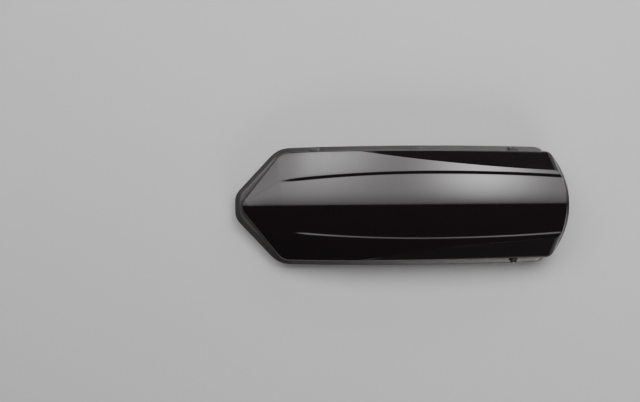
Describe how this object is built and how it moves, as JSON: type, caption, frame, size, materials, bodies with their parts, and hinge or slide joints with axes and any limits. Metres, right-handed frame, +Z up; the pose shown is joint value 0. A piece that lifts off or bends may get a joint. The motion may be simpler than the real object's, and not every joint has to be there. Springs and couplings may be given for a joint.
{
  "type": "roof cargo box",
  "caption": "Long roof box with a pointed nose, ridged gloss lid hinged along one side, dark rim, sliding-rod lock, gas struts and crossbar clamps",
  "frame": {"origin": "centre of the bounding box's bottom face, level with the lowest point of the clamp jaws", "axes": "+X from the nose to the tail, +Y towards the hinge side, +Z up"},
  "size_m": [2.34, 0.8498, 0.3919],
  "materials": {
    "gloss_black": "polished acrylic-capped ABS",
    "textured_black": "fine leather-grain thermoformed ABS, satin",
    "soft_black": "matte EPDM",
    "dark_plastic": "moulded glass-filled nylon, fine spark grain",
    "grey_plastic": "moulded grey nylon, fine spark grain",
    "steel": "zinc-plated, brushed",
    "aluminium": "extruded, satin anodised",
    "black_steel": "black powder coat",
    "cast_metal": "die-cast zinc, satin black",
    "chrome": "polished",
    "webbing": "woven polyester webbing",
    "mat": "ribbed foam rubber"
  },
  "bodies": {
    "tray": {"base_tray": "textured_black", "lid_seal": "soft_black", "hinge_1_base_leaf": "black_steel", "hinge_2_base_leaf": "black_steel", "hinge_3_base_leaf": "black_steel", "hinge_1_pin": "steel", "hinge_2_pin": "steel", "hinge_3_pin": "steel", "strut_front_base_bracket": "black_steel", "strut_rear_base_bracket": "black_steel", "lock_striker_1": "steel", "lock_striker_2": "steel", "lock_striker_3": "steel", "floor_rail_lock_side": "aluminium", "floor_rail_hinge_side": "aluminium", "floor_mat": "mat", "luggage_strap_1": "webbing", "luggage_strap_2": "webbing", "strap_buckle_1": "dark_plastic", "strap_buckle_2": "dark_plastic"},
    "lid": {"lid_shell": "gloss_black", "lid_frame": "dark_plastic", "hinge_1_lid_leaf": "black_steel", "hinge_2_lid_leaf": "black_steel", "hinge_3_lid_leaf": "black_steel", "strut_front_lid_bracket": "black_steel", "strut_rear_lid_bracket": "black_steel", "lock_housing": "dark_plastic"},
    "strut_front_cylinder": {"strut_front_cylinder": "black_steel"},
    "strut_front_rod": {"strut_front_rod": "steel"},
    "strut_rear_cylinder": {"strut_rear_cylinder": "black_steel"},
    "strut_rear_rod": {"strut_rear_rod": "steel"},
    "lock_knob": {"lock_knob": "cast_metal"},
    "lock_key_barrel": {"lock_key_barrel": "chrome"},
    "lock_rod": {"lock_rod": "aluminium", "lock_hook_1": "steel", "lock_hook_2": "steel", "lock_hook_3": "steel"},
    "clamp_front_lock_side": {"clamp_front_lock_side_housing": "dark_plastic", "clamp_front_lock_side_pad": "soft_black"},
    "clamp_front_lock_side_knob": {"clamp_front_lock_side_knob": "grey_plastic"},
    "clamp_front_lock_side_front_jaw": {"clamp_front_lock_side_front_jaw": "black_steel"},
    "clamp_front_lock_side_rear_jaw": {"clamp_front_lock_side_rear_jaw": "black_steel"},
    "clamp_front_hinge_side": {"clamp_front_hinge_side_housing": "dark_plastic", "clamp_front_hinge_side_pad": "soft_black"},
    "clamp_front_hinge_side_knob": {"clamp_front_hinge_side_knob": "grey_plastic"},
    "clamp_front_hinge_side_front_jaw": {"clamp_front_hinge_side_front_jaw": "black_steel"},
    "clamp_front_hinge_side_rear_jaw": {"clamp_front_hinge_side_rear_jaw": "black_steel"},
    "clamp_rear_lock_side": {"clamp_rear_lock_side_housing": "dark_plastic", "clamp_rear_lock_side_pad": "soft_black"},
    "clamp_rear_lock_side_knob": {"clamp_rear_lock_side_knob": "grey_plastic"},
    "clamp_rear_lock_side_front_jaw": {"clamp_rear_lock_side_front_jaw": "black_steel"},
    "clamp_rear_lock_side_rear_jaw": {"clamp_rear_lock_side_rear_jaw": "black_steel"},
    "clamp_rear_hinge_side": {"clamp_rear_hinge_side_housing": "dark_plastic", "clamp_rear_hinge_side_pad": "soft_black"},
    "clamp_rear_hinge_side_knob": {"clamp_rear_hinge_side_knob": "grey_plastic"},
    "clamp_rear_hinge_side_front_jaw": {"clamp_rear_hinge_side_front_jaw": "black_steel"},
    "clamp_rear_hinge_side_rear_jaw": {"clamp_rear_hinge_side_rear_jaw": "black_steel"}
  },
  "joints": [
    {"name": "lid_open", "type": "hinge", "parent": "tray", "child": "lid", "pos_m": [0, 0.403, 0.139], "axis": [-1, 0, 0], "range_deg": [0, 48]},
    {"name": "strut_front_pivot", "type": "hinge", "parent": "tray", "child": "strut_front_cylinder", "pos_m": [-0.25, 0.264, 0.09], "axis": [-1, 0, 0], "range_deg": [0, 33.21]},
    {"name": "strut_front_stroke", "type": "slide", "parent": "strut_front_cylinder", "child": "strut_front_rod", "axis": [0, -0.0104, 0.9999], "range_m": [0, 0.104]},
    {"name": "strut_rear_pivot", "type": "hinge", "parent": "tray", "child": "strut_rear_cylinder", "pos_m": [0.76, 0.264, 0.09], "axis": [-1, 0, 0], "range_deg": [0, 34.17]},
    {"name": "strut_rear_stroke", "type": "slide", "parent": "strut_rear_cylinder", "child": "strut_rear_rod", "axis": [0, -0.0095, 1], "range_m": [0, 0.1034]},
    {"name": "lock_knob_turn", "type": "hinge", "parent": "lid", "child": "lock_knob", "pos_m": [0.79, -0.4, 0.19], "axis": [0, -1, 0], "range_deg": [0, 90]},
    {"name": "lock_rod_slide", "type": "slide", "parent": "lid", "child": "lock_rod", "axis": [1, 0, 0], "range_m": [0, 0.0201]},
    {"name": "lock_key_turn", "type": "hinge", "parent": "lock_knob", "child": "lock_key_barrel", "pos_m": [0.79, -0.402, 0.19], "axis": [0, -1, 0], "range_deg": [0, 90]},
    {"name": "clamp_front_lock_side_slide", "type": "slide", "parent": "tray", "child": "clamp_front_lock_side", "axis": [1, 0, 0], "range_m": [-0.04, 0.04]},
    {"name": "clamp_front_lock_side_knob_turn", "type": "hinge", "parent": "clamp_front_lock_side", "child": "clamp_front_lock_side_knob", "pos_m": [-0.411, -0.244, 0.11], "axis": [0, 0, 1], "range_deg": [0, 540]},
    {"name": "clamp_front_lock_side_front_jaw_open", "type": "hinge", "parent": "clamp_front_lock_side", "child": "clamp_front_lock_side_front_jaw", "pos_m": [-0.456, -0.244, 0.076], "axis": [0, 1, 0], "range_deg": [0, 28.5]},
    {"name": "clamp_front_lock_side_rear_jaw_open", "type": "hinge", "parent": "clamp_front_lock_side", "child": "clamp_front_lock_side_rear_jaw", "pos_m": [-0.366, -0.244, 0.076], "axis": [0, -1, 0], "range_deg": [0, 28.5]},
    {"name": "clamp_front_hinge_side_slide", "type": "slide", "parent": "tray", "child": "clamp_front_hinge_side", "axis": [1, 0, 0], "range_m": [-0.04, 0.04]},
    {"name": "clamp_front_hinge_side_knob_turn", "type": "hinge", "parent": "clamp_front_hinge_side", "child": "clamp_front_hinge_side_knob", "pos_m": [-0.411, 0.244, 0.11], "axis": [0, 0, 1], "range_deg": [0, 540]},
    {"name": "clamp_front_hinge_side_front_jaw_open", "type": "hinge", "parent": "clamp_front_hinge_side", "child": "clamp_front_hinge_side_front_jaw", "pos_m": [-0.456, 0.244, 0.076], "axis": [0, 1, 0], "range_deg": [0, 28.5]},
    {"name": "clamp_front_hinge_side_rear_jaw_open", "type": "hinge", "parent": "clamp_front_hinge_side", "child": "clamp_front_hinge_side_rear_jaw", "pos_m": [-0.366, 0.244, 0.076], "axis": [0, -1, 0], "range_deg": [0, 28.5]},
    {"name": "clamp_rear_lock_side_slide", "type": "slide", "parent": "tray", "child": "clamp_rear_lock_side", "axis": [1, 0, 0], "range_m": [-0.04, 0.04]},
    {"name": "clamp_rear_lock_side_knob_turn", "type": "hinge", "parent": "clamp_rear_lock_side", "child": "clamp_rear_lock_side_knob", "pos_m": [0.337, -0.244, 0.11], "axis": [0, 0, 1], "range_deg": [0, 540]},
    {"name": "clamp_rear_lock_side_front_jaw_open", "type": "hinge", "parent": "clamp_rear_lock_side", "child": "clamp_rear_lock_side_front_jaw", "pos_m": [0.292, -0.244, 0.076], "axis": [0, 1, 0], "range_deg": [0, 28.5]},
    {"name": "clamp_rear_lock_side_rear_jaw_open", "type": "hinge", "parent": "clamp_rear_lock_side", "child": "clamp_rear_lock_side_rear_jaw", "pos_m": [0.382, -0.244, 0.076], "axis": [0, -1, 0], "range_deg": [0, 28.5]},
    {"name": "clamp_rear_hinge_side_slide", "type": "slide", "parent": "tray", "child": "clamp_rear_hinge_side", "axis": [1, 0, 0], "range_m": [-0.04, 0.04]},
    {"name": "clamp_rear_hinge_side_knob_turn", "type": "hinge", "parent": "clamp_rear_hinge_side", "child": "clamp_rear_hinge_side_knob", "pos_m": [0.337, 0.244, 0.11], "axis": [0, 0, 1], "range_deg": [0, 540]},
    {"name": "clamp_rear_hinge_side_front_jaw_open", "type": "hinge", "parent": "clamp_rear_hinge_side", "child": "clamp_rear_hinge_side_front_jaw", "pos_m": [0.292, 0.244, 0.076], "axis": [0, 1, 0], "range_deg": [0, 28.5]},
    {"name": "clamp_rear_hinge_side_rear_jaw_open", "type": "hinge", "parent": "clamp_rear_hinge_side", "child": "clamp_rear_hinge_side_rear_jaw", "pos_m": [0.382, 0.244, 0.076], "axis": [0, -1, 0], "range_deg": [0, 28.5]}
  ],
  "couplings": [
    {"joint": "strut_front_pivot", "follows": "lid_open", "ratio": 0.671},
    {"joint": "strut_front_stroke", "follows": "lid_open", "m_per_rad": 0.123},
    {"joint": "strut_rear_pivot", "follows": "lid_open", "ratio": 0.691},
    {"joint": "strut_rear_stroke", "follows": "lid_open", "m_per_rad": 0.1222},
    {"joint": "lock_rod_slide", "follows": "lock_knob_turn", "m_per_rad": 0.012732},
    {"joint": "clamp_front_lock_side_front_jaw_open", "follows": "clamp_front_lock_side_knob_turn", "ratio": 0.051852},
    {"joint": "clamp_front_lock_side_rear_jaw_open", "follows": "clamp_front_lock_side_knob_turn", "ratio": 0.051852},
    {"joint": "clamp_front_hinge_side_front_jaw_open", "follows": "clamp_front_hinge_side_knob_turn", "ratio": 0.051852},
    {"joint": "clamp_front_hinge_side_rear_jaw_open", "follows": "clamp_front_hinge_side_knob_turn", "ratio": 0.051852},
    {"joint": "clamp_rear_lock_side_front_jaw_open", "follows": "clamp_rear_lock_side_knob_turn", "ratio": 0.051852},
    {"joint": "clamp_rear_lock_side_rear_jaw_open", "follows": "clamp_rear_lock_side_knob_turn", "ratio": 0.051852},
    {"joint": "clamp_rear_hinge_side_front_jaw_open", "follows": "clamp_rear_hinge_side_knob_turn", "ratio": 0.051852},
    {"joint": "clamp_rear_hinge_side_rear_jaw_open", "follows": "clamp_rear_hinge_side_knob_turn", "ratio": 0.051852}
  ]
}
